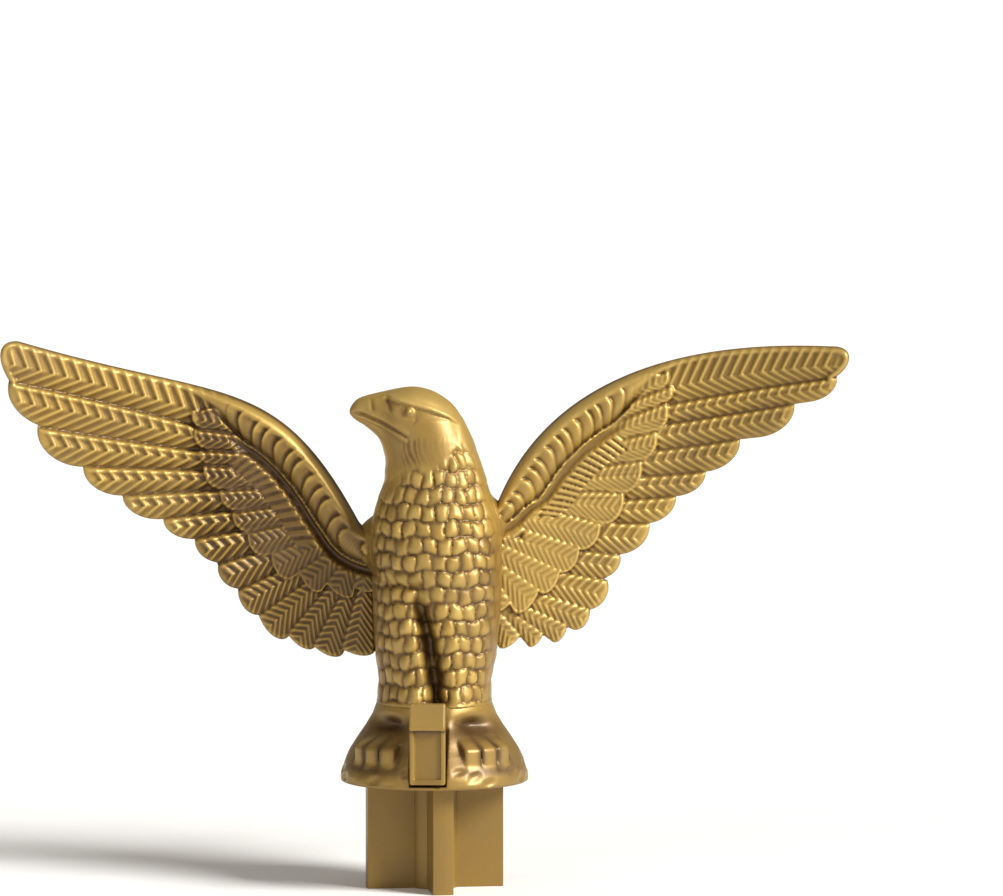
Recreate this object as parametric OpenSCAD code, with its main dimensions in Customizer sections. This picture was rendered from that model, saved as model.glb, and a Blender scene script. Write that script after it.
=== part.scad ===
// Spread-winged eagle topper for a 1 inch flag pole.
// Origin: on the pole's axis, in the plane where the base rests on the end of the pole.
// +Z up the pole, the bird's breast faces -Y, +X is the side of its left wing. Millimetres.

/* [Pole plug] */
// Distance across the cross-shaped plug, a push fit in the bore of a thin-wall 1 inch pole
plug_d = 24.2; // [20:0.1:26]
// Length of the plug below the base
plug_l = 18.8; // [14:0.1:30]
// Thickness of each rib of the cross
rib_t = 3.6; // [3:0.1:4.5]
// Turn of the plug's cross away from the bird's own front
plug_turn = 11; // [-20:1:20]

/* [Base] */
// Diameter of the base's rim
rim_d = 33; // [30:0.5:36]
// Height of the bell-shaped base
base_h = 14; // [13:0.5:16]

/* [Flag clip] */
// Width of the clip's finger
clip_w = 6.2; // [5:0.1:7]
// Thickness of the clip's finger
clip_t = 1.8; // [1.4:0.1:2.4]
// Height of the clip's finger
clip_h = 15.2; // [14:0.1:16]

/* [Bird] */
// Largest radius of the breast
breast_r = 11.5; // [11:0.1:12.5]
// Wall of the two body shells
wall = 2.2; // [1.8:0.1:2.8]
// Thickness of the wings' feathered plates
wing_t = 2.2; // [1.6:0.1:3]
// Radius of the wings' arms at the shoulder
arm_r = 3; // [2.4:0.1:3.4]
// Number of flight feathers in each wing
feathers = 13; // [10:1:15]

/* [Hidden] */
$fn = 64;
gold = [0.70, 0.55, 0.28];
steel = [0.62, 0.63, 0.64];
gap = 0.05;

rim_r = rim_d / 2;
plug_r = plug_d / 2;

// Plug: a disc that closes the base's recess, and a journal that the base turns on
collar_r = plug_r - 0.3;
collar_t = 1.2;
recess_r = plug_r + 0.1;
journal_r = 6;
journal_h = 7;
hub_r = 4.3;
seat_z = -5;

// Screw and washer on the pole's axis
screw_r = 1.5;
screw_top = 15;
head_r = 2.8;
head_t = 2;
washer_r = 2.9;
washer_t = 0.6;

// Flag clip: a root barrel held in the rim, and a finger upright in front of the bell
clip_x = -0.2;
clip_front = -16.8;
barrel_r = 1.1;
barrel_y = -14;
barrel_z = 2.4;
barrel_l = clip_w + 3.8;
clip_foot = 1.1;
foot_top = 3.6;
pocket_w = clip_w + 1.2;
pocket_y = -10.8;
pocket_z = clip_foot - 0.6;
lip = 0.9;
lip_z = 10.6;

// Body shells: they part on the plane y = 0 and stand on the base
shell_z = base_h + gap;
spigot_r = 7;
spigot_h = 5;
post_zs = [27, 50];
post_r = 2.4;
post_l = 9.3;
pin_r = 1.2;

// Wing roots: blocks held in slots of the rear shell
root_x = [6.5, 14];
root_y = [0, 5];
root_z = [30, 45];

// The two wings are posed differently, so each has its own four curves in x and z:
// the feathers' roots, the tips of the outer and the inner feathers, and the leading edge.
LEFT = [
    [[-36, 63], [-24, 58], [-20, 48], [-14.6, 40]],
    [[-74.6, 71.5], [-79.6, 58.4], [-29, 35], [-33, 29.8]],
    [[-33, 29.8], [-28.9, 25], [-23.2, 22.2], [-15, 22.4]],
    [[-73.2, 77.2], [-38.5, 64.8], [-27.6, 72.9], [-13.8, 45.5]]
];
RIGHT = [
    [[38, 69], [24, 64], [18, 54], [14.6, 42]],
    [[72.3, 73.5], [47.7, 49.7], [36.1, 48.3], [28.8, 30.6]],
    [[28.8, 30.6], [26.2, 24.7], [19.6, 24.2], [15, 24]],
    [[72.5, 75.3], [70.5, 79], [21.3, 77.3], [11.5, 50.2]]
];
outer_share = 0.7;
feather_r = 3.9;
arm_steps = 9;
tip_r = 1.1;

function bezier(c, t) =
    c[0] * pow(1 - t, 3) + c[1] * 3 * t * pow(1 - t, 2)
    + c[2] * 3 * t * t * (1 - t) + c[3] * pow(t, 3);

// Place of a wing's mid-surface in y, at a distance s from the middle of the bird
function camber(s) = 5.5 - 0.0045 * pow(s - 28, 2);

// Outline of the breast, legs and neck, as radius against height
BODY = [
    [9.7, 14], [9.8, 18], [10.5, 22], [breast_r - 0.5, 27], [breast_r, 35],
    [breast_r - 0.1, 41], [breast_r - 0.9, 47], [9.4, 52], [8.3, 56], [7.2, 60], [5.2, 63], [3, 65]
];

// Outline of the head, as radius against distance back from the tip of the beak
HEAD = [[0, 0], [0.8, 0.1], [1.7, 1.4], [2.6, 4], [4.3, 6.5], [5.4, 9.5],
        [5.9, 13], [5.3, 17], [3.6, 20], [0, 21.2]];
beak_tip = [-15.2, -1.5, 65];
head_tilt = 5;

// A solid of revolution about Z from a list of [radius, height]
module turned(outline) {
    rotate_extrude()
        polygon(concat([[0, outline[0][1]]], outline, [[0, outline[len(outline) - 1][1]]]));
}

module cross_outline() {
    circle(r = hub_r);
    intersection() {
        circle(r = plug_r);
        for (turn = [0, 90])
            rotate(turn) square([plug_d, rib_t], center = true);
    }
}

module pole_plug() {
    color(gold)
    difference() {
        union() {
            translate([0, 0, -plug_l])
                rotate([0, 0, plug_turn])
                    linear_extrude(plug_l + collar_t / 2)
                        cross_outline();
            cylinder(r = collar_r, h = collar_t);
            translate([0, 0, collar_t / 2]) cylinder(r = journal_r, h = journal_h - collar_t / 2);
        }
        translate([0, 0, -plug_l - 1]) cylinder(r = screw_r + gap, h = 60);
        translate([0, 0, -plug_l - 1]) cylinder(r = washer_r + 0.1, h = plug_l + 1 + seat_z);
    }
}

module pivot_washer() {
    color(steel)
    translate([0, 0, seat_z - gap - washer_t])
        difference() {
            cylinder(r = washer_r, h = washer_t);
            translate([0, 0, -1]) cylinder(r = screw_r + gap, h = washer_t + 2);
        }
}

module pivot_screw() {
    head_z = seat_z - gap - washer_t - head_t;
    color(steel)
    difference() {
        union() {
            translate([0, 0, head_z]) cylinder(r1 = head_r - 0.8, r2 = head_r, h = head_t);
            translate([0, 0, head_z]) cylinder(r = screw_r, h = screw_top - head_z);
        }
        for (turn = [0, 90])
            rotate([0, 0, turn])
                translate([-1.6, -0.35, head_z - 1])
                    cube([3.2, 0.7, 2.1]);
    }
}

// One toe: a knobbly solid of revolution that lies along -Y and ends in a talon
module toe(turn) {
    rotate([98, 0, turn])
        rotate_extrude($fn = 32)
            polygon([[0, -1.5], [1.8, -0.4], [1.4, 1.8], [1.7, 3], [0.8, 4.9], [0, 5.4]]);
}

module foot(side) {
    translate([side * 9, -9.3, 4])
        for (turn = [-30, 2, 34])
            toe(turn + side * 12);
}

module perch_base() {
    bell = [
        [rim_r - 0.1, 0], [rim_r, 0.4], [rim_r - 0.1, 1.6], [rim_r - 0.7, 3.6],
        [rim_r - 1.6, 5.6], [rim_r - 3, 7.8], [rim_r - 4.4, 9.8], [rim_r - 5.6, 11.8],
        [rim_r - 6.4, base_h]
    ];
    color(gold)
    difference() {
        union() {
            turned(bell);
            translate([0, 0, base_h - 1]) cylinder(r = spigot_r, h = spigot_h + 1);
            intersection() {
                union() {
                    foot(-1);
                    foot(1);
                }
                cylinder(r = rim_r - 0.1, h = base_h);
            }
        }
        translate([0, 0, -1]) cylinder(r = recess_r, h = collar_t + gap + 1);
        translate([0, 0, -1]) cylinder(r = journal_r + gap, h = journal_h + 1.2);
        translate([0, 0, -1]) cylinder(r = screw_r, h = screw_top + 1.5);
        clip_pocket();
        translate([clip_x - barrel_l / 2 - gap, barrel_y, barrel_z])
            rotate([0, 90, 0])
                cylinder(r = barrel_r + gap, h = barrel_l + 2 * gap);
    }
}

// Space round the finger, open to the front and the top, over a thin sill left along the rim,
// and deeper above the finger's foot
module clip_pocket() {
    translate([clip_x - pocket_w / 2, -rim_r - 1, pocket_z])
        cube([pocket_w, rim_r + 1 + barrel_y + 1.3, base_h + 2]);
    translate([clip_x - pocket_w / 2, -rim_r - 1, foot_top + 0.2])
        cube([pocket_w, rim_r + 1 + pocket_y, base_h + 2]);
}

module flag_clip() {
    back = clip_front + clip_t;
    color(gold)
    difference() {
        union() {
            translate([clip_x - barrel_l / 2, barrel_y, barrel_z])
                rotate([0, 90, 0])
                    cylinder(r = barrel_r, h = barrel_l);
            translate([clip_x - clip_w / 2, 0, 0])
                rotate([90, 0, 90])
                    linear_extrude(clip_w)
                        polygon([
                            [clip_front, clip_foot], [clip_front, lip_z], [clip_front - lip, lip_z],
                            [clip_front - lip, lip_z + 0.7], [clip_front + 0.3, clip_h], [back, clip_h],
                            [back, foot_top], [barrel_y + barrel_r, foot_top],
                            [barrel_y + barrel_r, clip_foot]
                        ]);
        }
        translate([clip_x - clip_w / 2 + 0.8, clip_front - 1, clip_foot + 1])
            cube([clip_w - 1.6, 1.4, lip_z - clip_foot - 1]);
    }
}

// The head is turned side on, with the beak towards -X
module head() {
    translate(beak_tip)
        rotate([0, 90 + head_tilt, 0])
            rotate_extrude()
                polygon(HEAD);
}

module body_solid() {
    turned(BODY);
    head();
}

module body_hollow() {
    turned([for (p = BODY) [p[0] - wall, p[1] - wall]]);
    translate([0, 0, shell_z - 1]) cylinder(r = spigot_r + gap, h = spigot_h + 2);
    translate([-3, -1.5, 63]) sphere(r = 3.2, $fn = 32);
}

// Posts from the wall to the parting plane, which hold the pins and sockets of the joint
module posts(side) {
    for (z = post_zs)
        translate([0, 0, z])
            rotate([side * -90, 0, 0])
                cylinder(r = post_r, h = post_l, $fn = 32);
}

module front_half() {
    translate([-30, -40, shell_z]) cube([60, 40, 70]);
}

module rear_half() {
    translate([-30, 0, shell_z]) cube([60, 40, 70]);
}

module front_shell() {
    color(gold) {
        intersection() {
            difference() {
                body_solid();
                body_hollow();
            }
            front_half();
        }
        posts(-1);
        for (z = post_zs)
            translate([0, -0.5, z]) rotate([-90, 0, 0]) cylinder(r = pin_r, h = 3.5, $fn = 32);
    }
}

// Fan of tail feathers that hangs behind the legs, clear of the base
module tail() {
    translate([0, 8.4, 33])
        rotate([106, 0, 0])
            linear_extrude(2.2)
                polygon([[-4, 0], [-5.5, -12], [-8.4, -21], [-5, -23.5], [0, -24.5],
                             [5, -23.5], [8.4, -21], [5.5, -12], [4, 0]]);
}

module rear_shell() {
    color(gold)
    difference() {
        union() {
            intersection() {
                difference() {
                    body_solid();
                    body_hollow();
                }
                rear_half();
            }
            posts(1);
            tail();
        }
        for (z = post_zs)
            translate([0, -1, z]) rotate([-90, 0, 0]) cylinder(r = pin_r, h = 4.3, $fn = 32);
        for (side = [-1, 1])
            root_block(side);
    }
}

module root_block(side) {
    x = side < 0 ? -root_x[1] : root_x[0];
    translate([x, root_y[0], root_z[0]])
        cube([root_x[1] - root_x[0], root_y[1] - root_y[0], root_z[1] - root_z[0]]);
}

// A disc of the feathered plate, upright on the camber
module plate_disc(p, r) {
    translate([p[0], camber(abs(p[0])), p[1]])
        rotate([90, 0, 0])
            cylinder(r = r, h = wing_t, center = true, $fn = 20);
}

// One flight feather between two points, bent once so that it follows the camber
module feather(from, to, r) {
    end = to - r * (to - from) / norm(to - from);
    middle = (from + end) / 2;
    hull() {
        plate_disc(from, r * 0.8);
        plate_disc(middle, r);
    }
    hull() {
        plate_disc(middle, r);
        plate_disc(end, r);
    }
}

function tip_at(wing, t) =
    t < outer_share ? bezier(wing[1], t / outer_share)
    : bezier(wing[2], (t - outer_share) / (1 - outer_share));

// Point of the arm's core: the leading edge moved into the wing by the arm's own radius
function arm_at(side, edge, t) =
    let (along = bezier(edge, t + 0.01) - bezier(edge, t - 0.01))
    bezier(edge, t) + side * arm_radius(t) * [-along[1], along[0]] / norm(along);

function arm_radius(t) = tip_r + (arm_r - tip_r) * min(1, t * 1.8);

module arm(side, edge) {
    for (i = [0:arm_steps - 1])
        hull()
            for (t = [i, i + 1] / arm_steps) {
                p = arm_at(side, edge, t);
                translate([p[0], camber(abs(p[0])), p[1]])
                    sphere(r = arm_radius(t), $fn = 20);
            }
}

module wing(side, curves) {
    color(gold) {
        for (i = [0:feathers - 1]) {
            t = i / (feathers - 1);
            feather(bezier(curves[0], t), tip_at(curves, t), feather_r - 1.2 * t);
        }
        arm(side, curves[3]);
        root_block(side);
    }
}

module left_wing() wing(-1, LEFT);

module right_wing() wing(1, RIGHT);

pole_plug();
pivot_washer();
pivot_screw();
perch_base();
flag_clip();
front_shell();
rear_shell();
left_wing();
right_wing();
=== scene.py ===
"""Looks of the flag pole eagle topper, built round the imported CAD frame.

The wings are two-sided relief sheets. The body, head and base are implicit solids, meshed on a
grid. Shapes are worked out in millimetres in the part's own frame and turned into metres last.
"""
import math

import bpy
import numpy as np
import openvdb
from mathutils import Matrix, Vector


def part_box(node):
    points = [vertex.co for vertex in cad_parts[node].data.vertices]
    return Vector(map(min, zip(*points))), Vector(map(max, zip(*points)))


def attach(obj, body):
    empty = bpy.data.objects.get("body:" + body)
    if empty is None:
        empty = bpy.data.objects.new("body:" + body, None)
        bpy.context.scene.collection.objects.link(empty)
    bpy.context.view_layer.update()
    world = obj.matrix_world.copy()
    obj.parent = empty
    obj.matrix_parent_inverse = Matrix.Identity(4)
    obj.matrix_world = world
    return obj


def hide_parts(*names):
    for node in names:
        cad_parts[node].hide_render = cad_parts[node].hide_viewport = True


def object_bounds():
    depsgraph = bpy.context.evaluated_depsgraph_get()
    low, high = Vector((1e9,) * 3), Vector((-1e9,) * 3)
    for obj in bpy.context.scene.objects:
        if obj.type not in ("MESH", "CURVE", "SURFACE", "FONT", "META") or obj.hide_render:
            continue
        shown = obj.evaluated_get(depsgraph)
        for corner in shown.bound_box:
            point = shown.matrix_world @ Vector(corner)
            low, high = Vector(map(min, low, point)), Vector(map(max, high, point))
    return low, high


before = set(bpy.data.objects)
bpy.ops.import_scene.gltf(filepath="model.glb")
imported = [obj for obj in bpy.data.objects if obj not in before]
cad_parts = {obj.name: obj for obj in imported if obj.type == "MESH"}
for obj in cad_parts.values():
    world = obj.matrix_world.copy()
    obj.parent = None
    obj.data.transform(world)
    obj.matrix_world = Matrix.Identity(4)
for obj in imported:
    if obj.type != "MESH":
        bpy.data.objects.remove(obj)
CAD_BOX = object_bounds()

MM = 0.001
rng = np.random.default_rng(7)

# ---------------------------------------------------------------- small field tools


def smoothstep(x, low, high):
    """0 at low, 1 at high, smooth between; low may be above high."""
    t = np.clip((x - low) / (high - low), 0, 1)
    return t * t * (3 - 2 * t)


def smooth_min(a, b, k):
    """The smaller of two fields, blended over a band k wide."""
    h = np.clip(0.5 + 0.5 * (b - a) / k, 0, 1)
    return b + (a - b) * h - k * h * (1 - h)


def bump(x, width):
    """A bell curve of height 1 round zero."""
    return np.exp(-((x / width) ** 2))


def bezier(points, count):
    """Points along a cubic curve given by its four control points."""
    t = np.linspace(0, 1, count)[:, None]
    p = np.array(points, float)
    return p[0] * (1 - t) ** 3 + 3 * p[1] * t * (1 - t) ** 2 + 3 * p[2] * t * t * (1 - t) + p[3] * t**3


def rounded_outline(points, count):
    """A smooth closed curve through the given corners."""
    corners = np.array(points, float)
    before, after, next_after = (np.roll(corners, k, axis=0) for k in (1, -1, -2))
    t = np.arange(count)[:, None, None] / count
    curve = 0.5 * (
        2 * corners
        + (after - before) * t
        + (2 * before - 5 * corners + 4 * after - next_after) * t**2
        + (3 * corners - before - 3 * after + next_after) * t**3
    )
    return curve.transpose(1, 0, 2).reshape(-1, 2)


def segment_distance(x, z, a, b):
    """Distance from each point to the segment from a to b, in the x-z plane."""
    ab = np.subtract(b, a)
    t = np.clip(((x - a[0]) * ab[0] + (z - a[1]) * ab[1]) / (ab @ ab), 0, 1)
    return np.hypot(x - a[0] - t * ab[0], z - a[1] - t * ab[1])


def polyline_distance(x, z, points):
    """Distance from each point to the nearest segment of a line of points."""
    return np.min([segment_distance(x, z, a, b) for a, b in zip(points, points[1:])], axis=0)


def polygon_depth(x, z, points):
    """How far each point is inside a closed outline; negative outside."""
    x, z = np.broadcast_arrays(x, z)
    closed = np.vstack([points, points[:1]])
    inside = np.zeros(x.shape, bool)
    for (ax, az), (bx, bz) in zip(closed, closed[1:]):
        crosses = (az > z) != (bz > z)
        with np.errstate(divide="ignore", invalid="ignore"):
            inside ^= crosses & (x < (bx - ax) * (z - az) / (bz - az) + ax)
    return np.where(inside, 1, -1) * polyline_distance(x, z, closed)


def blurred(field, passes):
    """Box blur by repeated neighbour averaging."""
    for _ in range(passes):
        padded = np.pad(field, 1, mode="edge")
        field = (
            padded[:-2, 1:-1] + padded[2:, 1:-1] + padded[1:-1, :-2] + padded[1:-1, 2:] + 4 * field
        ) / 8
    return field


# ---------------------------------------------------------------- meshes and materials


def make_piece(name, points_mm, faces, body, replaced, material, tone):
    """A smooth-shaded mesh that rides on a body, with the relief's tone, painted light and shade, stored
    per point.
    """
    mesh = bpy.data.meshes.new(name)
    mesh.from_pydata((np.asarray(points_mm) * MM).tolist(), [], faces)
    attribute = mesh.attributes.new("tone", "FLOAT", "POINT")
    attribute.data.foreach_set("value", np.asarray(tone, np.float32))
    mesh.polygons.foreach_set("use_smooth", [True] * len(mesh.polygons))
    mesh.materials.append(material)
    piece = bpy.data.objects.new(name, mesh)
    bpy.context.scene.collection.objects.link(piece)
    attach(piece, body)
    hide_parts(replaced)


def meshed(field, low, high, step):
    """Points and faces of the surface where a field of x, y and z is zero."""
    axes = [np.arange(lo, hi, step) for lo, hi in zip(low, high)]
    x, y, z = np.meshgrid(*axes, indexing="ij", sparse=True)
    values = np.ascontiguousarray(np.broadcast_to(field(x, y, z), [len(a) for a in axes]), np.float32)
    values = np.clip(values, -3 * step, 3 * step)
    grid = openvdb.FloatGrid(3 * step)
    grid.copyFromArray(values)
    points, triangles, quads = grid.convertToPolygons(0, 0)
    points = points * step + np.array(low)
    faces = [f[::-1] for f in triangles.tolist()] + [f[::-1] for f in quads.tolist()]
    return points, faces


def new_material(name):
    """A material with its node tree and shader."""
    material = bpy.data.materials.new(name)
    material.use_nodes = True
    nodes = material.node_tree.nodes
    return material, nodes, material.node_tree.links, nodes["Principled BSDF"]


def add_ramp(nodes, stops):
    """A colour ramp from a list of place and colour."""
    ramp = nodes.new("ShaderNodeValToRGB")
    while len(ramp.color_ramp.elements) < len(stops):
        ramp.color_ramp.elements.new(0.5)
    for element, (place, color) in zip(ramp.color_ramp.elements, stops):
        element.position = place
        element.color = (*color, 1)
    return ramp


def add_noise(nodes, links, scale, detail):
    """Noise in the object's own coordinates, with a scale in features per metre."""
    coords = nodes.new("ShaderNodeTexCoord")
    noise = nodes.new("ShaderNodeTexNoise")
    noise.inputs["Scale"].default_value = scale
    noise.inputs["Detail"].default_value = detail
    links.new(coords.outputs["Object"], noise.inputs["Vector"])
    return noise


def gold_plastic():
    """Satin pearl-gold moulding, whose colour follows the tone attribute from painted shade in the
    recesses to painted light on the ridges, with grey flow marks and a fine grain.
    """
    material, nodes, links, shader = new_material("gold_plastic")
    tone = nodes.new("ShaderNodeAttribute")
    tone.attribute_name = "tone"
    # The tone ramp is painted light and shade: its dark end is painted shade, its light end painted light
    # on the ridges.
    gold = add_ramp(nodes, [
        (0.0, (0.068, 0.032, 0.006)),
        (0.3, (0.185, 0.104, 0.019)),
        (0.55, (0.390, 0.246, 0.052)),
        (1.0, (0.640, 0.442, 0.125)),
    ])
    links.new(tone.outputs["Fac"], gold.inputs["Fac"])

    flow = add_noise(nodes, links, 95, 3)
    patches = add_ramp(nodes, [(0.44, (0, 0, 0)), (0.68, (0.3, 0.3, 0.3))])
    links.new(flow.outputs["Fac"], patches.inputs["Fac"])
    grey = nodes.new("ShaderNodeMix")
    grey.data_type = "RGBA"
    grey.inputs["B"].default_value = (0.2, 0.13, 0.06, 1)
    links.new(patches.outputs["Color"], grey.inputs["Factor"])
    links.new(gold.outputs["Color"], grey.inputs["A"])
    links.new(grey.outputs["Result"], shader.inputs["Base Color"])

    rough = nodes.new("ShaderNodeMapRange")
    rough.inputs["To Min"].default_value = 0.38
    rough.inputs["To Max"].default_value = 0.54
    links.new(flow.outputs["Fac"], rough.inputs["Value"])
    links.new(rough.outputs["Result"], shader.inputs["Roughness"])

    grain = add_noise(nodes, links, 2600, 2)
    bumps = nodes.new("ShaderNodeBump")
    bumps.inputs["Strength"].default_value = 0.12
    bumps.inputs["Distance"].default_value = 0.0002
    links.new(grain.outputs["Fac"], bumps.inputs["Height"])
    links.new(bumps.outputs["Normal"], shader.inputs["Normal"])

    shader.inputs["Metallic"].default_value = 0.45
    shader.inputs["Coat Weight"].default_value = 0.2
    shader.inputs["Coat Roughness"].default_value = 0.25
    return material


def zinc_steel():
    """Zinc-plated steel with a fine mottle."""
    material, nodes, links, shader = new_material("zinc_steel")
    mottle = add_noise(nodes, links, 900, 4)
    color = add_ramp(nodes, [(0.3, (0.42, 0.42, 0.43)), (0.7, (0.62, 0.62, 0.64))])
    links.new(mottle.outputs["Fac"], color.inputs["Fac"])
    links.new(color.outputs["Color"], shader.inputs["Base Color"])
    shader.inputs["Metallic"].default_value = 1
    shader.inputs["Roughness"].default_value = 0.36
    return material


def floor_paper():
    """Matt white paper with faint fibres."""
    material, nodes, links, shader = new_material("floor_paper")
    fibre = add_noise(nodes, links, 60, 5)
    color = add_ramp(nodes, [(0.3, (0.93, 0.93, 0.93)), (0.7, (0.96, 0.96, 0.96))])
    links.new(fibre.outputs["Fac"], color.inputs["Fac"])
    links.new(color.outputs["Color"], shader.inputs["Base Color"])
    shader.inputs["Roughness"].default_value = 0.8
    return material


GOLD = gold_plastic()
STEEL = zinc_steel()

# ---------------------------------------------------------------- wings

WING_STEP = 0.2
# Half the thickness of a wing at its rim
RIM = 0.45


def camber(x):
    """Place of a wing's mid-surface in y; the same sheet as the CAD wing."""
    return 5.5 - 0.0045 * (np.abs(x) - 28) ** 2


# Each feather is given by its upper edge, from root to tip in x and z, and by how far the
# edge bends. It lies over the feather above it and under the next one. The last line only
# closes the last feather. "edge" is the leading edge from the wing's tip to its root, "wrap"
# rounds the wing's end and "into_body" leads the edge into the body. "depth" and "spacing"
# scale the feathers' relief and barbs, "lobe" is the arm's lobes' pitch, "ladder" is the
# bars' pitch and how flat they are, "valley" is the height of the groove below the arm and
# the painted shade in it, and "dull" is painted shade over the inner half of the wing,
# painted light where it is negative.
LEFT_WING = {
    "side": -1,
    "edge": [(-72.6, 77.1), (-37.5, 65.6), (-28.5, 72.0), (-13.9, 45.6)],
    "wrap": [(-74.0, 70.0), (-76.8, 74.6), (-75.8, 77.6), (-72.6, 77.1)],
    "into_body": [(-13.9, 45.6), (-13.1, 44.1), (-11.8, 43.2), (-8.5, 43.0)],
    "root_taper": 0.1,
    "depth": 1.0,
    "spacing": 1.0,
    "lobe": 2.9,
    "ladder": {"pitch": 2.2, "flat": 0.28},
    "valley": (0.35, 0.12),
    "inner_painted_shade": 0.27,
    "flight": [
        ((-34.0, 64.3), (-74.9, 75.9), 0.3), ((-31.0, 58.6), (-74.2, 70.1), 0.3),
        ((-29.0, 55.7), (-69.4, 62.0), -0.3), ((-26.5, 53.2), (-61.7, 54.9), 0.1),
        ((-24.0, 50.8), (-55.0, 49.7), 0.2), ((-21.0, 48.0), (-48.0, 45.5), 0.3),
        ((-18.5, 45.5), (-42.6, 41.9), 0.3), ((-16.5, 43.5), (-38.8, 37.3), 0.3),
        ((-15.0, 42.0), (-35.4, 32.6), 0.2), ((-14.0, 41.0), (-31.7, 28.2), 0),
        ((-13.2, 40.5), (-26.6, 25.0), 0), ((-12.6, 40.0), (-22.0, 22.9), 0),
        ((-12.0, 40.0), (-16.8, 22.3), 0), ((-11.4, 40.0), (-11.2, 22.3), 0),
    ],
    "coverts": [
        ((-33.5, 62.6), (-42.9, 64.8), 0), ((-31.0, 59.6), (-42.6, 61.4), 0.2),
        ((-29.4, 56.6), (-41.8, 57.6), 0.2), ((-27.8, 53.8), (-41.0, 55.0), 0.2),
        ((-26.0, 50.8), (-38.2, 50.5), 0.2), ((-24.0, 48.0), (-36.0, 46.6), 0.2),
        ((-21.8, 45.2), (-33.4, 43.0), 0.2), ((-19.0, 43.0), (-29.4, 39.4), 0.2),
        ((-16.5, 41.6), (-24.4, 36.2), 0.1), ((-14.5, 40.6), (-19.6, 34.2), 0),
        ((-13.0, 40.0), (-14.6, 33.4), 0), ((-11.5, 40.0), (-10.5, 33.4), 0),
    ],
}
RIGHT_WING = {
    "side": 1,
    "edge": [(69.2, 76.6), (48.5, 77.0), (21.5, 73.2), (11.3, 49.6)],
    "wrap": [(69.8, 71.0), (73.6, 73.6), (73.4, 76.9), (69.2, 76.6)],
    "into_body": [(11.3, 49.6), (10.7, 48.2), (10.0, 47.0), (8.6, 46.4)],
    "root_taper": 0.55,
    "depth": 0.75,
    "spacing": 0.8,
    "lobe": 2.5,
    "ladder": {"pitch": 1.6, "flat": 0.5},
    "valley": (0.75, 0.1),
    "inner_painted_shade": -0.08,
    "flight": [
        ((30.0, 67.6), (71.6, 74.9), 1.9), ((30.0, 63.6), (70.3, 71.2), 0.3),
        ((28.5, 60.6), (62.9, 66.4), -0.2), ((27.0, 56.6), (53.4, 60.0), -0.3),
        ((25.5, 52.6), (47.4, 54.2), -0.2), ((23.0, 48.6), (42.2, 49.8), -0.2),
        ((20.0, 45.2), (37.6, 44.9), 0), ((16.5, 41.2), (32.6, 39.3), 0),
        ((14.0, 37.6), (30.6, 34.8), 0), ((12.5, 34.6), (27.4, 29.6), 0),
        ((11.4, 32.4), (23.4, 26.9), 0), ((10.6, 31.4), (19.2, 25.4), 0),
        ((9.8, 31.2), (15.2, 25.0), 0), ((8.9, 31.2), (11.0, 24.8), 0),
        ((7.9, 31.0), (6.4, 24.4), 0),
    ],
    "coverts": [
        ((28.0, 66.0), (40.9, 71.6), 0.2), ((26.5, 62.4), (41.6, 69.3), 0.3),
        ((26.5, 60.2), (40.6, 66.3), 0.2), ((26.4, 57.6), (38.8, 61.2), 0.2),
        ((25.4, 54.0), (36.2, 56.0), 0.2), ((23.4, 50.4), (33.2, 50.2), 0.2),
        ((20.6, 46.8), (29.2, 44.8), 0.2), ((17.4, 43.4), (25.6, 40.4), 0.2),
        ((14.4, 40.2), (22.2, 36.6), 0), ((12.4, 37.4), (18.6, 33.2), 0),
        ((10.6, 35.6), (13.6, 30.8), 0), ((9.0, 35.0), (9.0, 30.6), 0),
    ],
}


def edge_line(x, z, line, side):
    """Distance along a feather's upper edge and distance below it."""
    root, tip, bend = line
    along = np.subtract(tip, root)
    length = np.hypot(*along)
    along = along / length
    s = (x - root[0]) * along[0] + (z - root[1]) * along[1]
    below = ((x - root[0]) * along[1] - (z - root[1]) * along[0]) * side
    t = np.clip(s / length, 0, 1)
    return s, below + 4 * bend * t * (1 - t), length


def feather_end(feather, width, inner, sweep_share):
    """Distance past a feather's outline, and how far into its rounded end a point is."""
    s, below, length = feather
    v = below / width
    # The end is a quarter of an ellipse outboard and a shallow scallop near the body.
    sweep = (sweep_share * (1 - inner) + 0.36 * inner) * width
    crest = 0.42 * inner
    past = np.maximum(s - (length - sweep), 0) / sweep
    off_crest = np.where(v > crest, (v - crest) / (1 - crest), (crest - v) / (crest + 0.35))
    end = (np.hypot(past, off_crest) - 1) * width
    # Each feather reaches a little under the one above, except at its tip.
    under = 1.3 * smoothstep(s, length - 0.8, length - 3.5)
    return np.where(below < 0, np.maximum(s - length + 0.3 * inner, -below - under), end), past


def feather_barbs(s, v, width, inner, pitch, shaft):
    """Sharp ridges that flare at the feather's upper edge, and broad leaves near the body."""
    q = (v - shaft) * width
    lean = np.where(q < 0, 0.7, 1.3 - 0.3 * inner)
    phase = (s - lean * np.abs(q)) / (pitch * (1 - inner) + 1.2 * inner) + rng.random()
    wave = 0.5 + 0.5 * np.cos(2 * np.pi * phase)
    from_edge = np.clip(v / shaft, 0, 1)
    past_shaft = np.clip((v - shaft) / (1 - shaft), 0, 1)
    upper = wave ** ((1.5 + 3.5 * from_edge) * (1 - 0.75 * inner))
    lower = wave ** (1.6 * (1 - 0.6 * inner)) * (1 - 0.5 * past_shaft * (1 - inner))
    return np.where(q < 0, upper, lower) * smoothstep(v, 1.0, 0.9) * (1 - 0.3 * inner)


def feather_slope(v, inner, shaft):
    """Height of a feather's roof, which falls towards its lower edge."""
    from_edge = np.clip(v / shaft, 0, 1)
    fall = (1 - 0.45 * inner) * smoothstep(v, 0.45, 1.02)
    return np.where(v < shaft, 0.85 + 0.15 * from_edge, 1 - fall)


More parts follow.
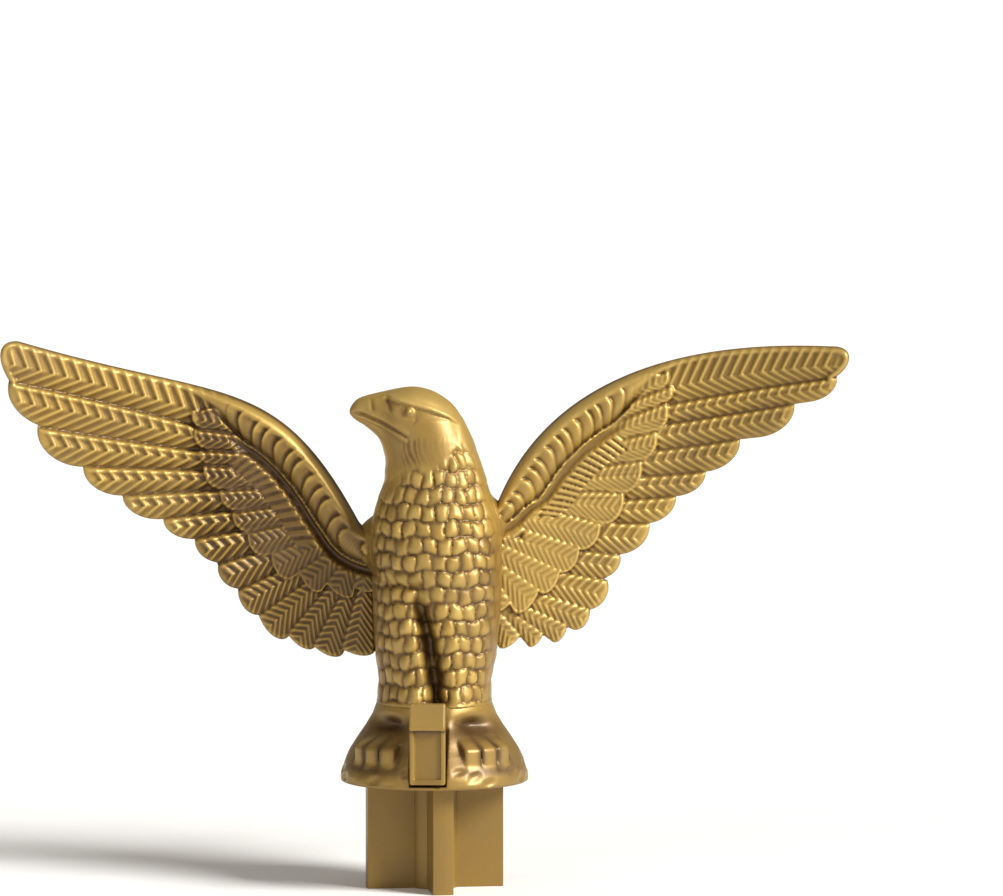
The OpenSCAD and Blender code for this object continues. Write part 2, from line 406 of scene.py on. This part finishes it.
def feather_layer(x, z, lines, wing, look):
    """Outline distance and relief of a fan of feathers that overlap like shingles."""
    depth, shaft = wing["depth"], look["shaft"]
    pitch = look["pitch"] * wing["spacing"]
    outline = np.full(x.shape, 99.0)
    relief = np.zeros(x.shape)
    edges = [edge_line(x, z, line, wing["side"]) for line in lines]
    for i, (feather, (_, next_below, _)) in enumerate(zip(edges, edges[1:])):
        s, below, length = feather
        # 0 for the outer feathers and 1 for those near the body
        inner = smoothstep(i / (len(lines) - 1), 0.3, 0.75)
        width = np.clip((below - next_below) * (1 + 0.12 * inner), 0.8, 9)
        v = below / width
        end, past = feather_end(feather, width, inner, look["sweep"])
        outline = np.minimum(outline, np.maximum(end, -s - (5 if i else 1)))

        fade = smoothstep(past, 0.95, 0.6) if i else smoothstep(s, length, length - 3)
        barbs = feather_barbs(s, v, width, inner, pitch, shaft) * fade
        height = depth * (look["roof"] * feather_slope(v, inner, shaft) + look["barbs"] * barbs)
        if i > 0:
            edge = 0.3 * (1 - 0.8 * inner) * bump(below - 0.55, 0.32) * smoothstep(s, length, length - 2)
            height = (height + depth * edge) * smoothstep(below, -0.3 - 0.4 * inner, 0.45)
        crowded = smoothstep(below - next_below, 2.4, 0.8)
        height = height * (1 - crowded) + 0.7 * depth * look["roof"] * crowded
        relief = np.where((below >= 0) | (i == 0), height, relief)
    return outline, relief


# The two kinds of feather: length of the rounded end and place of the shaft as shares of the
# width, distance between barbs in mm, and height of the barbs and of the feather in mm
FLIGHT = {"sweep": 1.5, "shaft": 0.42, "pitch": 2.3, "barbs": 0.62, "roof": 0.9}
COVERT = {"sweep": 0.9, "shaft": 0.45, "pitch": 1.5, "barbs": 0.46, "roof": 0.6}


def edge_coordinates(x, z, wing):
    """Distance inside the leading edge, and the length along it from the wing's root."""
    parts = [bezier(wing["wrap"], 40)[:-1], bezier(wing["edge"], 160), bezier(wing["into_body"], 16)[1:]]
    line = np.vstack(parts)
    steps = np.hypot(*np.diff(line, axis=0).T)
    length = np.concatenate([[0], np.cumsum(steps)])
    root = length[len(line) - len(parts[-1]) - 1]
    best = np.full(x.shape, 1e9)
    inside = np.zeros(x.shape)
    along = np.zeros(x.shape)
    for i, (a, b) in enumerate(zip(line, line[1:])):
        ab = b - a
        t = np.clip(((x - a[0]) * ab[0] + (z - a[1]) * ab[1]) / (ab @ ab), 0, 1)
        dx = x - a[0] - t * ab[0]
        dz = z - a[1] - t * ab[1]
        distance = np.hypot(dx, dz)
        closer = distance < best
        sign = np.sign(ab[0] * dz - ab[1] * dx) * wing["side"]
        inside = np.where(closer, sign * distance, inside)
        along = np.where(closer, root - length[i] - t * steps[i], along)
        best = np.minimum(best, distance)
    return inside, along


def arm_size(along, root_taper):
    """Width and height of the arm: a thick roll near the body, a bead along the outer edge."""
    width = 1.3 + 5.2 * smoothstep(along, 42, 24)
    width = width * (1 - root_taper * smoothstep(along, 5, -5))
    return width, 0.95 + 2.0 * smoothstep(along, 44, 24)


def wing_outline(x, z, wing, inside, arm_width, flight_outline):
    """The feathers' outline joined to the arm and to the panel that runs into the body."""
    _, below_second, _ = edge_line(x, z, wing["flight"][1], wing["side"])
    first = np.maximum(below_second, 33 - np.abs(x))
    band = inside - arm_width - 3.5
    panel = np.maximum(np.abs(x) - 13.5, np.abs(z - 34.0) - 10.2)
    framed = np.maximum(np.minimum(np.minimum(first, band), panel), -inside)
    trimmed = np.where(np.abs(x) < 26, np.maximum(flight_outline, -inside), flight_outline)
    return np.minimum(framed, trimmed)


def with_ladder(front, inside, along, arm_width, ladder):
    """Adds the ladder of short flat bars between the arm's valley and the coverts."""
    mask = smoothstep(inside, arm_width + 1.7, arm_width + 2.1)
    mask = mask * smoothstep(inside, arm_width + 5.6, arm_width + 5.1)
    mask = mask * smoothstep(along, -1, 1) * smoothstep(along, 27, 24)
    rung = (along - 0.5 * (inside - arm_width)) / ladder["pitch"]
    bars = 1.0 + 0.95 * np.abs(np.sin(np.pi * rung)) ** ladder["flat"]
    return front * (1 - mask) + mask * bars


def arm_dome(across):
    """Section of the arm: round in front, with a soft slope down to the valley."""
    return np.where(across < 0.5, np.sqrt(1 - (2 * across - 1) ** 2), np.cos(np.pi * (across - 0.5)))


def arm_lobes(across, along, lobe_pitch):
    """Crescent lobes along the arm, each with a sharp round end towards the wing's tip."""
    curl = np.clip((across - 0.25) / 0.75, 0, 1)
    lobe = ((along + 0.35 * np.sin(0.8 * along) + 5.0 * (curl - 0.3) ** 2) / lobe_pitch) % 1
    swell = (lobe**0.7 * smoothstep(lobe, 1.0, 0.8) - 0.85) * (1 - 0.65 * smoothstep(curl, 0.35, 0.95))
    return swell * smoothstep(across, 0.24, 0.4) * smoothstep(along, 33, 28) * smoothstep(along, -6, -3)


def wing_relief(wing):
    """Grid, outline distance, heights of the two faces over the mid-surface, and painted shade."""
    side = wing["side"]
    far = np.abs([tip[0] for _, tip, _ in wing["flight"]]).max() + 2.5
    ends = sorted((side * 7.5, side * far))
    x, z = np.meshgrid(
        np.arange(ends[0], ends[1], WING_STEP), np.arange(20, 79.5, WING_STEP), indexing="ij"
    )
    inside, along = edge_coordinates(x, z, wing)
    arm_width, arm_height = arm_size(along, wing["root_taper"])
    flight_outline, flight = feather_layer(x, z, wing["flight"], wing, FLIGHT)
    covert_outline, coverts = feather_layer(x, z, wing["coverts"], wing, COVERT)
    outline = wing_outline(x, z, wing, inside, arm_width, flight_outline)

    over = smoothstep(covert_outline, 0.2, -0.3)
    covert_rim = 0.28 * bump(covert_outline + 0.45, 0.3)
    front = (0.5 + flight) * (1 - over) + over * (1.35 + coverts + covert_rim)
    front = with_ladder(front, inside, along, arm_width, wing["ladder"])
    beyond = inside - arm_width
    valley_floor, valley_shade = wing["valley"]
    valley = smoothstep(beyond, -0.2, 0.5) * smoothstep(beyond, 2.3, 1.2) * smoothstep(along, 32, 22)
    front = front + (valley_floor + 0.3 * np.abs(beyond - 0.9) - front) * valley

    across = np.clip(inside / arm_width, 0, 1)
    dome = arm_dome(across)
    roll = 0.5 + arm_height * dome + 1.25 * arm_lobes(across, along, wing["lobe"])
    on_arm = inside < arm_width
    beside = np.where(on_arm, roll, front)
    merged = -smooth_min(-front, -np.where(on_arm, roll, 0.3), 0.5)
    outer = smoothstep(along, 28, 36)
    front = beside * (1 - outer) + merged * outer
    back = 0.5 + 0.5 * flight
    back = np.where(on_arm, np.maximum(back, 0.5 + 0.7 * arm_height * dome), back)

    # Both faces thin down to the rim, in a quarter of a circle
    thin = np.sqrt(np.clip(1 - (1 - np.clip(-outline / 1.1, 0, 1)) ** 2, 0, 1))
    front = RIM + (np.maximum(blurred(front, 1), 0.2) - RIM) * thin
    back = RIM + (back - RIM) * thin
    # Painted shade over the inner wing, stronger off the arm and over the coverts, added to the valley's
    # painted shade.
    off_arm = 0.4 + 0.6 * smoothstep(beyond, -0.8, 0.4)
    painted_inner_wing_shade = wing["inner_painted_shade"] * smoothstep(np.abs(x), 46, 40) * (off_arm + 0.4 * over)
    return x, z, outline, front, back, valley_shade * valley + painted_inner_wing_shade


def painted_relief_shade(height, passes):
    """Painted light and shade from a height field: 1 on the ridges and 0 in the recesses."""
    return np.clip(0.52 + (height - blurred(height, passes)) * 1.5, 0, 1)


def build_wing(name, wing, replaced):
    """Two relief faces joined by a narrow wall round the outline, to which the border is snapped."""
    x, z, outline, front, back, shade = wing_relief(wing)
    slope_x, slope_z = np.gradient(outline, WING_STEP)
    steepness = np.maximum(slope_x**2 + slope_z**2, 0.6)
    outside = np.clip(outline, 0, 1.5 * WING_STEP)
    near = outline < 1.5 * WING_STEP
    px = np.where(near, x - outside * slope_x / steepness, x)
    pz = np.where(near, z - outside * slope_z / steepness, z)

    solid = outline < 0
    cell = near[:-1, :-1] & near[1:, :-1] & near[1:, 1:] & near[:-1, 1:]
    cell &= solid[:-1, :-1] | solid[1:, :-1] | solid[1:, 1:] | solid[:-1, 1:]
    i, k = np.nonzero(cell)
    columns = x.shape[1]
    corner = i * columns + k
    quads = np.stack([corner, corner + columns, corner + columns + 1, corner + 1], axis=1)

    used, quads = np.unique(quads, return_inverse=True)
    quads = quads.reshape(-1, 4)
    count = len(used)
    flat_x, flat_z = px.ravel()[used], pz.ravel()[used]
    middle = camber(flat_x)
    front_points = np.stack([flat_x, middle - front.ravel()[used], flat_z], axis=1)
    back_points = np.stack([flat_x, middle + back.ravel()[used], flat_z], axis=1)

    edges = np.concatenate([quads[:, [a, (a + 1) % 4]] for a in range(4)])
    key = np.sort(edges, axis=1)
    _, first, uses = np.unique(key, axis=0, return_index=True, return_counts=True)
    border = edges[first[uses == 1]]
    walls = np.stack([border[:, 1], border[:, 0], border[:, 0] + count, border[:, 1] + count], axis=1)

    faces = quads.tolist() + (quads[:, ::-1] + count).tolist() + walls.tolist()
    # The front's colour is painted shade from its relief, minus the painted shade of the valley and the
    # inner wing; the back's is painted shade from its relief.
    tone = np.concatenate([
        np.clip(painted_relief_shade(front, 14) - shade, 0, 1).ravel()[used],
        painted_relief_shade(back, 14).ravel()[used],
    ])
    points = np.concatenate([front_points, back_points])
    make_piece(name, points, faces, "eagle", replaced, GOLD, tone)


build_wing("left_wing_relief", LEFT_WING, "left_wing")
build_wing("right_wing_relief", RIGHT_WING, "right_wing")

# ---------------------------------------------------------------- body and head

BODY_STEP = 0.27
BODY_TOP = 63.0
# Underside of the two shells, a little inside the base, and of the tail, which hangs lower
BODY_FOOT = 13.75
TAIL_FOOT = 9.2
# Rows and columns of the feather pads, and the radius at which their width is measured
PAD_HEIGHT = 2.9
PAD_WIDTH = 2.5
PAD_RADIUS = 10.2

# Height, half-width, half-depth, and centre in x and y of the legs, breast and neck
SECTIONS = np.array([
    (13, 10.35, 10.3, 0.0, 0.0),
    (15, 10.0, 9.8, 0.0, 0.0),
    (18, 9.9, 9.4, 0.1, 0.1),
    (22, 10.6, 9.6, 0.3, 0.0),
    (27, 11.0, 10.1, 0.4, -0.1),
    (32, 11.3, 10.5, 0.5, -0.2),
    (37, 11.4, 10.9, 0.5, -0.3),
    (42, 11.4, 10.9, 0.4, -0.4),
    (46, 11.0, 10.5, 0.2, -0.3),
    (50, 9.9, 9.7, 0.1, -0.2),
    (53, 8.9, 8.7, 0.3, -0.4),
    (56, 8.1, 7.7, 0.1, -0.7),
    (60, 7.3, 6.5, -0.9, -1.1),
    (64, 6.0, 5.0, -2.0, -1.4),
])

# Side-on outline of the head and neck in x and z, from the beak's tip over the crown
HEAD = rounded_outline([
    (-14.75, 65.2), (-13.8, 66.75), (-12.3, 67.6), (-8.8, 68.5), (-4.6, 69.3), (-1.8, 69.1),
    (1.0, 68.0), (3.9, 65.6), (6.1, 61.3), (7.1, 57.5), (6.4, 52.6), (-6.6, 52.6),
    (-8.2, 57.0), (-9.5, 60.1), (-11.8, 62.25), (-13.3, 63.2), (-14.4, 64.1),
], 4)
HEAD_Y = -1.5

# Where the wings grow out of the body: centre in x and z, and radius
SHOULDERS = [(-10.6, 41.2, 3.6), (9.4, 45.2, 3.0)]
BROW = [(-10.5, 67.9), (-8.0, 67.6), (-3.2, 66.2), (-0.1, 65.3), (2.9, 64.1), (4.6, 63.0), (6.0, 61.0)]
MOUTH = [(-14.6, 65.0), (-12.2, 64.6), (-9.2, 63.4), (-6.2, 61.9), (-4.4, 60.8)]
EYE = (-3.9, 65.35)


def section(z):
    """Half-width, half-depth and centre of the body at each height."""
    return [np.interp(z, SECTIONS[:, 0], SECTIONS[:, i]) for i in range(1, 5)]


def leg_gap(z):
    """Place in x of the groove between the thighs."""
    return np.interp(z, (14, 18, 25, 34), (1.0, 0.6, -0.4, -2.4))


def scale_pads(x, y, z):
    """Height of the rounded-rectangle feather pads, 0 in the grooves to 1 on the pads."""
    _, _, cx, cy = section(z)
    u = np.arctan2(x - cx, cy - y) * PAD_RADIUS
    # Rows and columns wander a little, and every other row is set off sideways.
    v = z / PAD_HEIGHT + 0.10 * np.sin(0.8 * u + 0.3 * z) + 0.05 * np.sin(1.9 * u - 0.5 * z + 2)
    row = np.floor(v)
    w = u / PAD_WIDTH + 0.42 * (row % 2) + 0.3 * np.sin(row * 12.9) + 0.05 * np.sin(2.1 * z + u)
    column = np.floor(w)
    narrow = 0.10 * np.sin(column * 7.7 + row * 3.1)
    to_side = (0.5 - np.abs(w - column - 0.5)) * PAD_WIDTH + narrow
    to_end = (0.5 - np.abs(v - row - 0.5)) * PAD_HEIGHT + 0.08 * np.sin(column * 4.1 + row)
    edge = smooth_min(to_side, to_end, 0.7)
    pad = np.sqrt(np.clip(1 - (1 - np.clip(edge / 1.05, 0, 1)) ** 2, 0, 1))
    # Each pad leans its own way.
    tilt = (0.3 + 0.4 * np.sin(column * 3.7 + row * 5.9)) * (w - column - 0.5)
    tilt = tilt + (0.2 + 0.4 * np.sin(column * 2.3 - row * 7.1)) * (row + 0.5 - v)
    return pad * (0.82 + 0.16 * np.sin(column * 5.3 + row * 9.1) + tilt)


def pad_mask(x, y, z):
    """Where the pads are deep: on the front, fading to the flanks and below the cheek."""
    _, _, cx, cy = section(z)
    around = np.arctan2(x - cx, cy - y)
    front = 0.15 + 0.85 * smoothstep(np.abs(around + 0.06), 1.35, 0.95)
    back = 0.55 * smoothstep(np.abs(around), 1.9, 2.3)
    top = 54.8 + 4.0 * smoothstep(x, 0.5, 4.5) + 0.5 * np.sin(1.7 * x)
    throat = 1 - 0.9 * smoothstep(z, 48, 53) * smoothstep(x, -4.2, -6.4)
    ankle = smoothstep(z, 13.8, 15.0)
    return np.maximum(front, back) * smoothstep(z, top + 1.2, top - 1.2) * throat * ankle


def mouth_relief(x, z):
    """The slit of the beak with a lip above and below it, and a fold under the lower lip."""
    relief = 0.28 * bump(polyline_distance(x, z + 0.62, MOUTH), 0.34)
    relief = relief - 0.5 * bump(polyline_distance(x, z, MOUTH), 0.26)
    relief = relief - 0.2 * bump(polyline_distance(x, z + 1.15, MOUTH), 0.25)
    return relief + 0.22 * bump(polyline_distance(x, z - 0.75, MOUTH), 0.45)


def throat_relief(x, z):
    """Fine strands of feather that hang from the cheek's edge."""
    cheek = 60.4 + 0.12 * x + 0.5 * np.abs(np.sin(x * 1.9))
    hackles = smoothstep(z, cheek + 0.3, cheek - 0.3) * smoothstep(z, 54.0, 57.0)
    strands = np.sin((x - 0.25 * (60 - z)) * 6.6 + 1.4 * np.sin(z * 1.1) + 0.8 * np.sin(x * 2.7))
    hackles = hackles * smoothstep(x, -5.9, -4.8) * (0.12 + 0.88 * bump(x + 3.4, 1.7))
    return hackles * (0.26 * strands - 0.2)


def head_relief(x, z):
    """Height of the face's features over the inflated head, in the x-z plane."""
    # The crown stands over the face as a cap whose edge is the brow.
    brow_x, brow_z = np.array(BROW).T
    above = z - np.interp(x, brow_x, brow_z)
    cap_zone = smoothstep(x, -11.0, -7.5) * smoothstep(x, 6.0, 4.0)
    relief = cap_zone * (0.6 * smoothstep(above, -0.3, 0.3) + 0.2 * bump(above - 0.5, 0.4) - 0.35)
    eye = np.hypot(x - EYE[0], z - EYE[1])
    socket = np.hypot((x - EYE[0] + 0.5) / 1.7, z - EYE[1] + 0.1)
    relief = relief - 0.4 * bump(socket, 0.7) + 1.25 * bump(eye, 0.58)
    relief = relief + mouth_relief(x, z)
    # Two creases cross the beak, and one runs down behind the eye.
    creases = bump(x + 10.6 + 0.25 * (z - 66), 0.3) + bump(x + 7.5 + 0.3 * (z - 66), 0.35)
    relief = relief - 0.3 * creases * smoothstep(z, 64.8, 65.8)
    relief = relief - 0.2 * bump(x + 2.7 - 0.25 * (z - 64), 0.4) * bump(z - 63.7, 0.8)
    relief = relief + throat_relief(x, z)
    return relief * smoothstep(polygon_depth(x, z, HEAD), 0.1, 1.8)


def head_field(x, y, z):
    """The side-on outline of the head, inflated to either side of its middle plane."""
    depth = polygon_depth(x, z, HEAD)
    round_off = 1.4 + 4.3 * smoothstep(x, -14.2, -5)
    return np.hypot(y - HEAD_Y, np.maximum(round_off - depth, 0)) - round_off


def tail_field(x, y, z):
    """A fan of tail feathers that hangs from the back, clear of the base."""
    lean = math.radians(16)
    s = (33 - z) * math.cos(lean) + (y - 7.4) * math.sin(lean)
    n = (y - 7.4) * math.cos(lean) - (33 - z) * math.sin(lean)
    half = 3.6 + 0.19 * np.clip(s, 0, 30)
    spread = x / half
    feathers = 0.45 * np.abs(np.sin(np.pi * spread * 2.5)) ** 0.5
    barbs = 0.12 * np.sin(2 * np.pi * (s - 0.8 * np.abs((spread * 2.5) % 1 - 0.5) * half) / 1.7)
    end = 24.0 - 1.6 * spread**2 - 0.7 * (1 - np.abs(np.sin(np.pi * spread * 2.5)) ** 0.5)
    slab = np.abs(n) - 0.55 - feathers - barbs * smoothstep(s, 3, 6)
    return np.maximum(np.maximum(slab * 0.8, np.abs(x) - half), np.maximum(s - end, -s))


def body_field(x, y, z):
    """Legs, breast, neck, head, shoulders and tail as one solid."""
    a, b, cx, cy = section(z)
    round_body = (np.sqrt(((x - cx) / a) ** 2 + ((y - cy) / b) ** 2) - 1) * b
    # The thighs swell to either side of the groove between them, below a fold across the belly.
    front = smoothstep(y, 3, -4)
    gap = 3.0 * bump(x - leg_gap(z), 1.3) * smoothstep(z, 36, 29) * front
    gap = gap + 0.6 * bump(z - 34.8 - 0.05 * (x + 4) ** 2, 0.9) * smoothstep(x, 1, -2) * front
    gap = gap - 0.5 * bump(np.abs(x - leg_gap(z)) - 4.2, 2.2) * smoothstep(z, 34, 28) * front
    torso = np.maximum(round_body + gap, z - BODY_TOP)
    relief = 0.82 * (scale_pads(x, y, z) - 0.6) * pad_mask(x, y, z)
    head = head_field(x, y, z) - head_relief(x, z)
    body = smooth_min(torso, head, 1.6)
    for cx, cz, size in SHOULDERS:
        ball = np.sqrt((x - cx) ** 2 + (y - 5.2) ** 2 + (0.8 * (z - cz)) ** 2) - size
        body = smooth_min(body, ball, 3.5)
    return smooth_min(body - relief, tail_field(x, y, z), 0.8)


def body_painted_shade(points):
    """Painted shade in the grooves of the pads, under the brow and in the face's creases, between the
    thighs and on the flanks; painted light on the eye and the face's raised parts.
    """
    x, y, z = points.T
    pads = scale_pads(x, y, z)
    mask = pad_mask(x, y, z)
    # Painted light and shade from the face's relief and the pads' relief, with painted shade on the flanks
    # and in the groove between the thighs.
    face = np.clip(0.66 + 0.55 * head_relief(x, z), 0.1, 1)
    flank = 0.2 * bump(np.abs(x) - 11, 3) * smoothstep(z, 48, 40)
    groove = 0.55 * bump(x - leg_gap(z), 1.3) * smoothstep(z, 35, 29) * (y < 0)
    feathered = 0.6 + mask * (0.62 * pads - 0.47)
    tone = face + (feathered - face) * smoothstep(z, 57, 54) - flank - groove
    return np.clip(tone, 0.05, 1)


def build_body(name, half, replaced):
    """The front (half = 1) or back (half = -1) shell, cut on the parting plane y = 0."""
    low = (-16.5, -12.6, 13.0) if half > 0 else (-16.5, -1.5, 8.0)
    high = (13.0, 1.5, 70.2) if half > 0 else (13.0, 16.5, 70.2)

    def field(x, y, z):
        shell = np.maximum(body_field(x, y, z), half * y)
        foot = BODY_FOOT if half > 0 else np.where(y > 11.6, TAIL_FOOT, BODY_FOOT)
        return np.maximum(shell, foot - z)

    points, faces = meshed(field, low, high, BODY_STEP)
    make_piece(name, points, faces, "eagle", replaced, GOLD, body_painted_shade(points))


build_body("front_shell_relief", 1, "front_shell")
build_body("rear_shell_relief", -1, "rear_shell")

# ---------------------------------------------------------------- base with the feet

BASE_STEP = 0.25
CLIP_X = (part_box("flag_clip")[0][0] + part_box("flag_clip")[1][0]) / 2 / MM
RIM_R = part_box("perch_base")[1][0] / MM
# Height of the seam between the base and the two body shells
BASE_TOP = 14.0
# Room round the clip, and the recess under the base that the plug's disc closes
POCKET_HALF_WIDTH = 3.25
POCKET_FLOOR = 0.6
RECESS_R = 12.2
RECESS_DEPTH = 1.25
# Height and radius of the bell
BELL = np.array([
    (0.0, 16.35), (0.5, 16.5), (1.6, 16.4), (3.6, 15.8), (5.6, 14.9), (7.8, 13.5),
    (9.8, 12.1), (11.8, 10.9), (14.2, 10.0),
])
# Toes, as turns round the pole from the front in degrees
FEET = [(-57, -43, -29), (29, 43, 57)]


def toe_field(rho, around, z, turn, middle_turn):
    """A blunt toe that comes out of the bell and bends down over its edge."""
    across = rho * np.radians(around - turn) + 0.12 * np.sign(turn - middle_turn) * (rho - 13)
    bend = 6.9 - 0.16 * np.maximum(rho - 10.5, 0) ** 1.6
    outside = [np.abs(across) - 1.15, np.abs(rho - 12.2) - 2.75, np.abs(z - bend) - 1.5]
    reach = np.sqrt(sum(np.maximum(part, 0) ** 2 for part in outside))
    return reach + np.minimum(np.maximum(np.maximum(outside[0], outside[1]), outside[2]), 0) - 0.45


def base_field(x, y, z):
    """The bell with its feet, folds, pocket for the clip and recess for the plug."""
    rho = np.hypot(x, y)
    around = np.degrees(np.arctan2(x, -y))
    angle = np.radians(around)
    folds = 0.2 * np.sin(angle * 10 + 1.3 * z) + 0.15 * np.sin(angle * 23 - 1.9 * z)
    folds = np.maximum(folds, 0) * smoothstep(z, 4.4, 3.0) * smoothstep(z, 0.0, 0.8)
    radius = np.interp(z, BELL[:, 0], BELL[:, 1]) - folds
    for toes in FEET:
        radius = radius - 2.4 * bump(z - 10.4, 1.4) * bump(around - toes[1], 19)
        radius = radius - 1.1 * bump(z - 6.6, 2.4) * bump(around - toes[1], 26)
    radius = radius - 1.6 * bump(x - leg_gap(BASE_TOP), 1.3) * smoothstep(z, 8, 12) * (y < 0)
    bell = (rho - radius) * 0.8
    for toes in FEET:
        for turn in toes:
            bell = smooth_min(bell, toe_field(rho, around, z, turn, toes[1]), 0.3)
    bell = np.maximum(bell, rho - RIM_R)
    # The clip's pocket is shallower behind the clip's foot, and open at the top.
    pocket = np.maximum(np.abs(x - CLIP_X) - POCKET_HALF_WIDTH, y + np.where(z > 3.8, 10.8, 12.7))
    pocket = np.maximum(pocket, POCKET_FLOOR - z)
    recess = np.maximum(rho - RECESS_R, z - RECESS_DEPTH)
    bell = np.maximum(np.maximum(bell, -pocket), -recess)
    return np.maximum(np.maximum(bell, -z), z - BASE_TOP)


def base_painted_shade(points):
    """Painted shade in the hollow over each foot, between the toes and under their ends; painted light on
    the toes, on a band near the rim's foot and towards the top.
    """
    x, y, z = points.T
    around = np.degrees(np.arctan2(x, -y))
    tone = 0.36 + 0.1 * bump(z - 1.2, 1.0) + 0.12 * smoothstep(z, 9, 13)
    for toes in FEET:
        tone = tone - 0.5 * bump(around - toes[1], 24) * bump(z - 10.1, 1.7)
        for turn in toes:
            tone = tone + 0.15 * bump(around - turn, 5) * smoothstep(z, 9.2, 7.4) * smoothstep(z, 3.0, 4.0)
            tone = tone - 0.25 * bump(np.abs(around - turn) - 7, 2.0) * bump(z - 6, 2.2)
        tone = tone - 0.25 * bump(z - 3.0, 0.6) * bump(around - toes[1], 22)
    return np.clip(tone, 0.05, 1)


points, faces = meshed(base_field, (-17.5, -17.5, -0.8), (17.5, 17.5, 14.9), BASE_STEP)
make_piece("perch_base_relief", points, faces, "eagle", "perch_base", GOLD, base_painted_shade(points))

# ---------------------------------------------------------------- plug, clip and fasteners


PLUG_TONE = 0.4


def rounded_copy(node, name, body, radius_mm):
    """The CAD part with its sharp edges rounded over, as a moulding has them."""
    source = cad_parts[node]
    mesh = source.data.copy()
    mesh.name = name
    piece = bpy.data.objects.new(name, mesh)
    bpy.context.scene.collection.objects.link(piece)
    attribute = mesh.attributes.new("tone", "FLOAT", "POINT")
    attribute.data.foreach_set("value", [PLUG_TONE] * len(mesh.vertices))
    mesh.polygons.foreach_set("use_smooth", [False] * len(mesh.polygons))
    mesh.materials.clear()
    mesh.materials.append(GOLD)
    weld = piece.modifiers.new("weld", "WELD")
    weld.merge_threshold = 0.00002
    bevel = piece.modifiers.new("round_edges", "BEVEL")
    bevel.width = radius_mm * MM
    bevel.segments = 3
    bevel.limit_method = "ANGLE"
    bevel.angle_limit = math.radians(40)
    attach(piece, body)
    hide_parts(node)


rounded_copy("pole_plug", "pole_plug_moulding", "plug", 0.45)

CLIP_STEP = 0.13
CLIP_HALF_WIDTH = 3.1
BARREL_R = 1.1
BARREL_HALF_LENGTH = 5.0
BARREL_Y = -14.0
BARREL_Z = 2.4
# Side outline of the clip in y and z: a sloping head over a flat plate, with a foot behind
CLIP_SIDE = [
    (-16.8, 1.1), (-16.8, 10.6), (-17.65, 10.6), (-17.65, 11.3), (-16.5, 15.2),
    (-15.0, 15.2), (-15.0, 3.6), (-12.95, 3.6), (-12.95, 1.1),
]


def clip_field(x, y, z):
    """The clip's plate with its sunk panel, on the barrel held in the rim."""
    across = np.abs(x - CLIP_X)
    plate = -smooth_min(polygon_depth(y, z, CLIP_SIDE), CLIP_HALF_WIDTH - across, 0.35)
    panel = np.maximum(np.maximum(across - 2.25, np.abs(z - 6.3) - 4.2), y + 16.3)
    plate = -smooth_min(-plate, panel, 0.3)
    barrel = np.maximum(np.hypot(y - BARREL_Y, z - BARREL_Z) - BARREL_R, across - BARREL_HALF_LENGTH)
    return smooth_min(plate, barrel, 0.2)


def clip_painted_shade(points):
    """Painted shade in the sunk panel, with a painted shadow line under the sloping head."""
    x, y, z = points.T
    in_panel = smoothstep(np.abs(x - CLIP_X), 2.6, 1.9) * smoothstep(z, 10.8, 10.3)
    return 0.48 - 0.1 * in_panel - 0.35 * bump(z - 10.45, 0.3) * (y > -17.2)


points, faces = meshed(clip_field, (-5.9, -18.2, 0.6), (5.5, -12.4, 15.8), CLIP_STEP)
make_piece("flag_clip_moulding", points, faces, "clip", "flag_clip", GOLD, clip_painted_shade(points))

for node in ("pivot_screw", "pivot_washer"):
    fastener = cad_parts[node]
    fastener.data.materials.clear()
    fastener.data.materials.append(STEEL)

# ---------------------------------------------------------------- stage, light and camera


def add_plane(name, size, place, material):
    """A square of floor, which isn't part of the object."""
    bpy.ops.mesh.primitive_plane_add(size=size, location=place)
    plane = bpy.context.object
    plane.name = name
    plane.data.materials.append(material)


def add_sun(name, source, strength, spread, color):
    """A soft distant light from the direction of a point, with its spread in degrees."""
    data = bpy.data.lights.new(name, "SUN")
    data.energy = strength
    data.angle = math.radians(spread)
    data.color = color
    light = bpy.data.objects.new(name, data)
    light.rotation_euler = Vector(source).to_track_quat("Z", "Y").to_euler()
    bpy.context.scene.collection.objects.link(light)


FLOOR_Z = CAD_BOX[0][2]
add_plane("floor", 60, (0, 20, FLOOR_Z), floor_paper())

add_sun("key", (0.95, -0.52, 0.72), 4.9, 24, (1, 0.985, 0.96))
add_sun("fill", (-0.5, -0.9, 0.6), 0.4, 40, (0.97, 0.98, 1))

world = bpy.data.worlds.new("studio")
world.use_nodes = True
world.node_tree.nodes["Background"].inputs["Color"].default_value = (1, 0.93, 0.83, 1)
world.node_tree.nodes["Background"].inputs["Strength"].default_value = 0.29
bpy.context.scene.world = world

# The object is seen almost square on and a little from above, through a long lens.
AIM = Vector((11.8, 0, 58.5)) * MM
CAMERA_DISTANCE = 1.2
AZIMUTH = math.radians(3)
ELEVATION = math.radians(4.2)
VIEW_WIDTH = 0.1755

camera_data = bpy.data.cameras.new("camera")
camera = bpy.data.objects.new("camera", camera_data)
bpy.context.scene.collection.objects.link(camera)
camera.location = AIM + CAMERA_DISTANCE * Vector((
    math.sin(AZIMUTH) * math.cos(ELEVATION),
    -math.cos(AZIMUTH) * math.cos(ELEVATION),
    math.sin(ELEVATION),
))
camera.rotation_euler = (AIM - camera.location).to_track_quat("-Z", "Y").to_euler()
camera_data.sensor_width = 36
camera_data.lens = 36 * CAMERA_DISTANCE / VIEW_WIDTH
camera_data.clip_start = 0.05
bpy.context.scene.camera = camera

bpy.context.scene.view_settings.view_transform = "Standard"
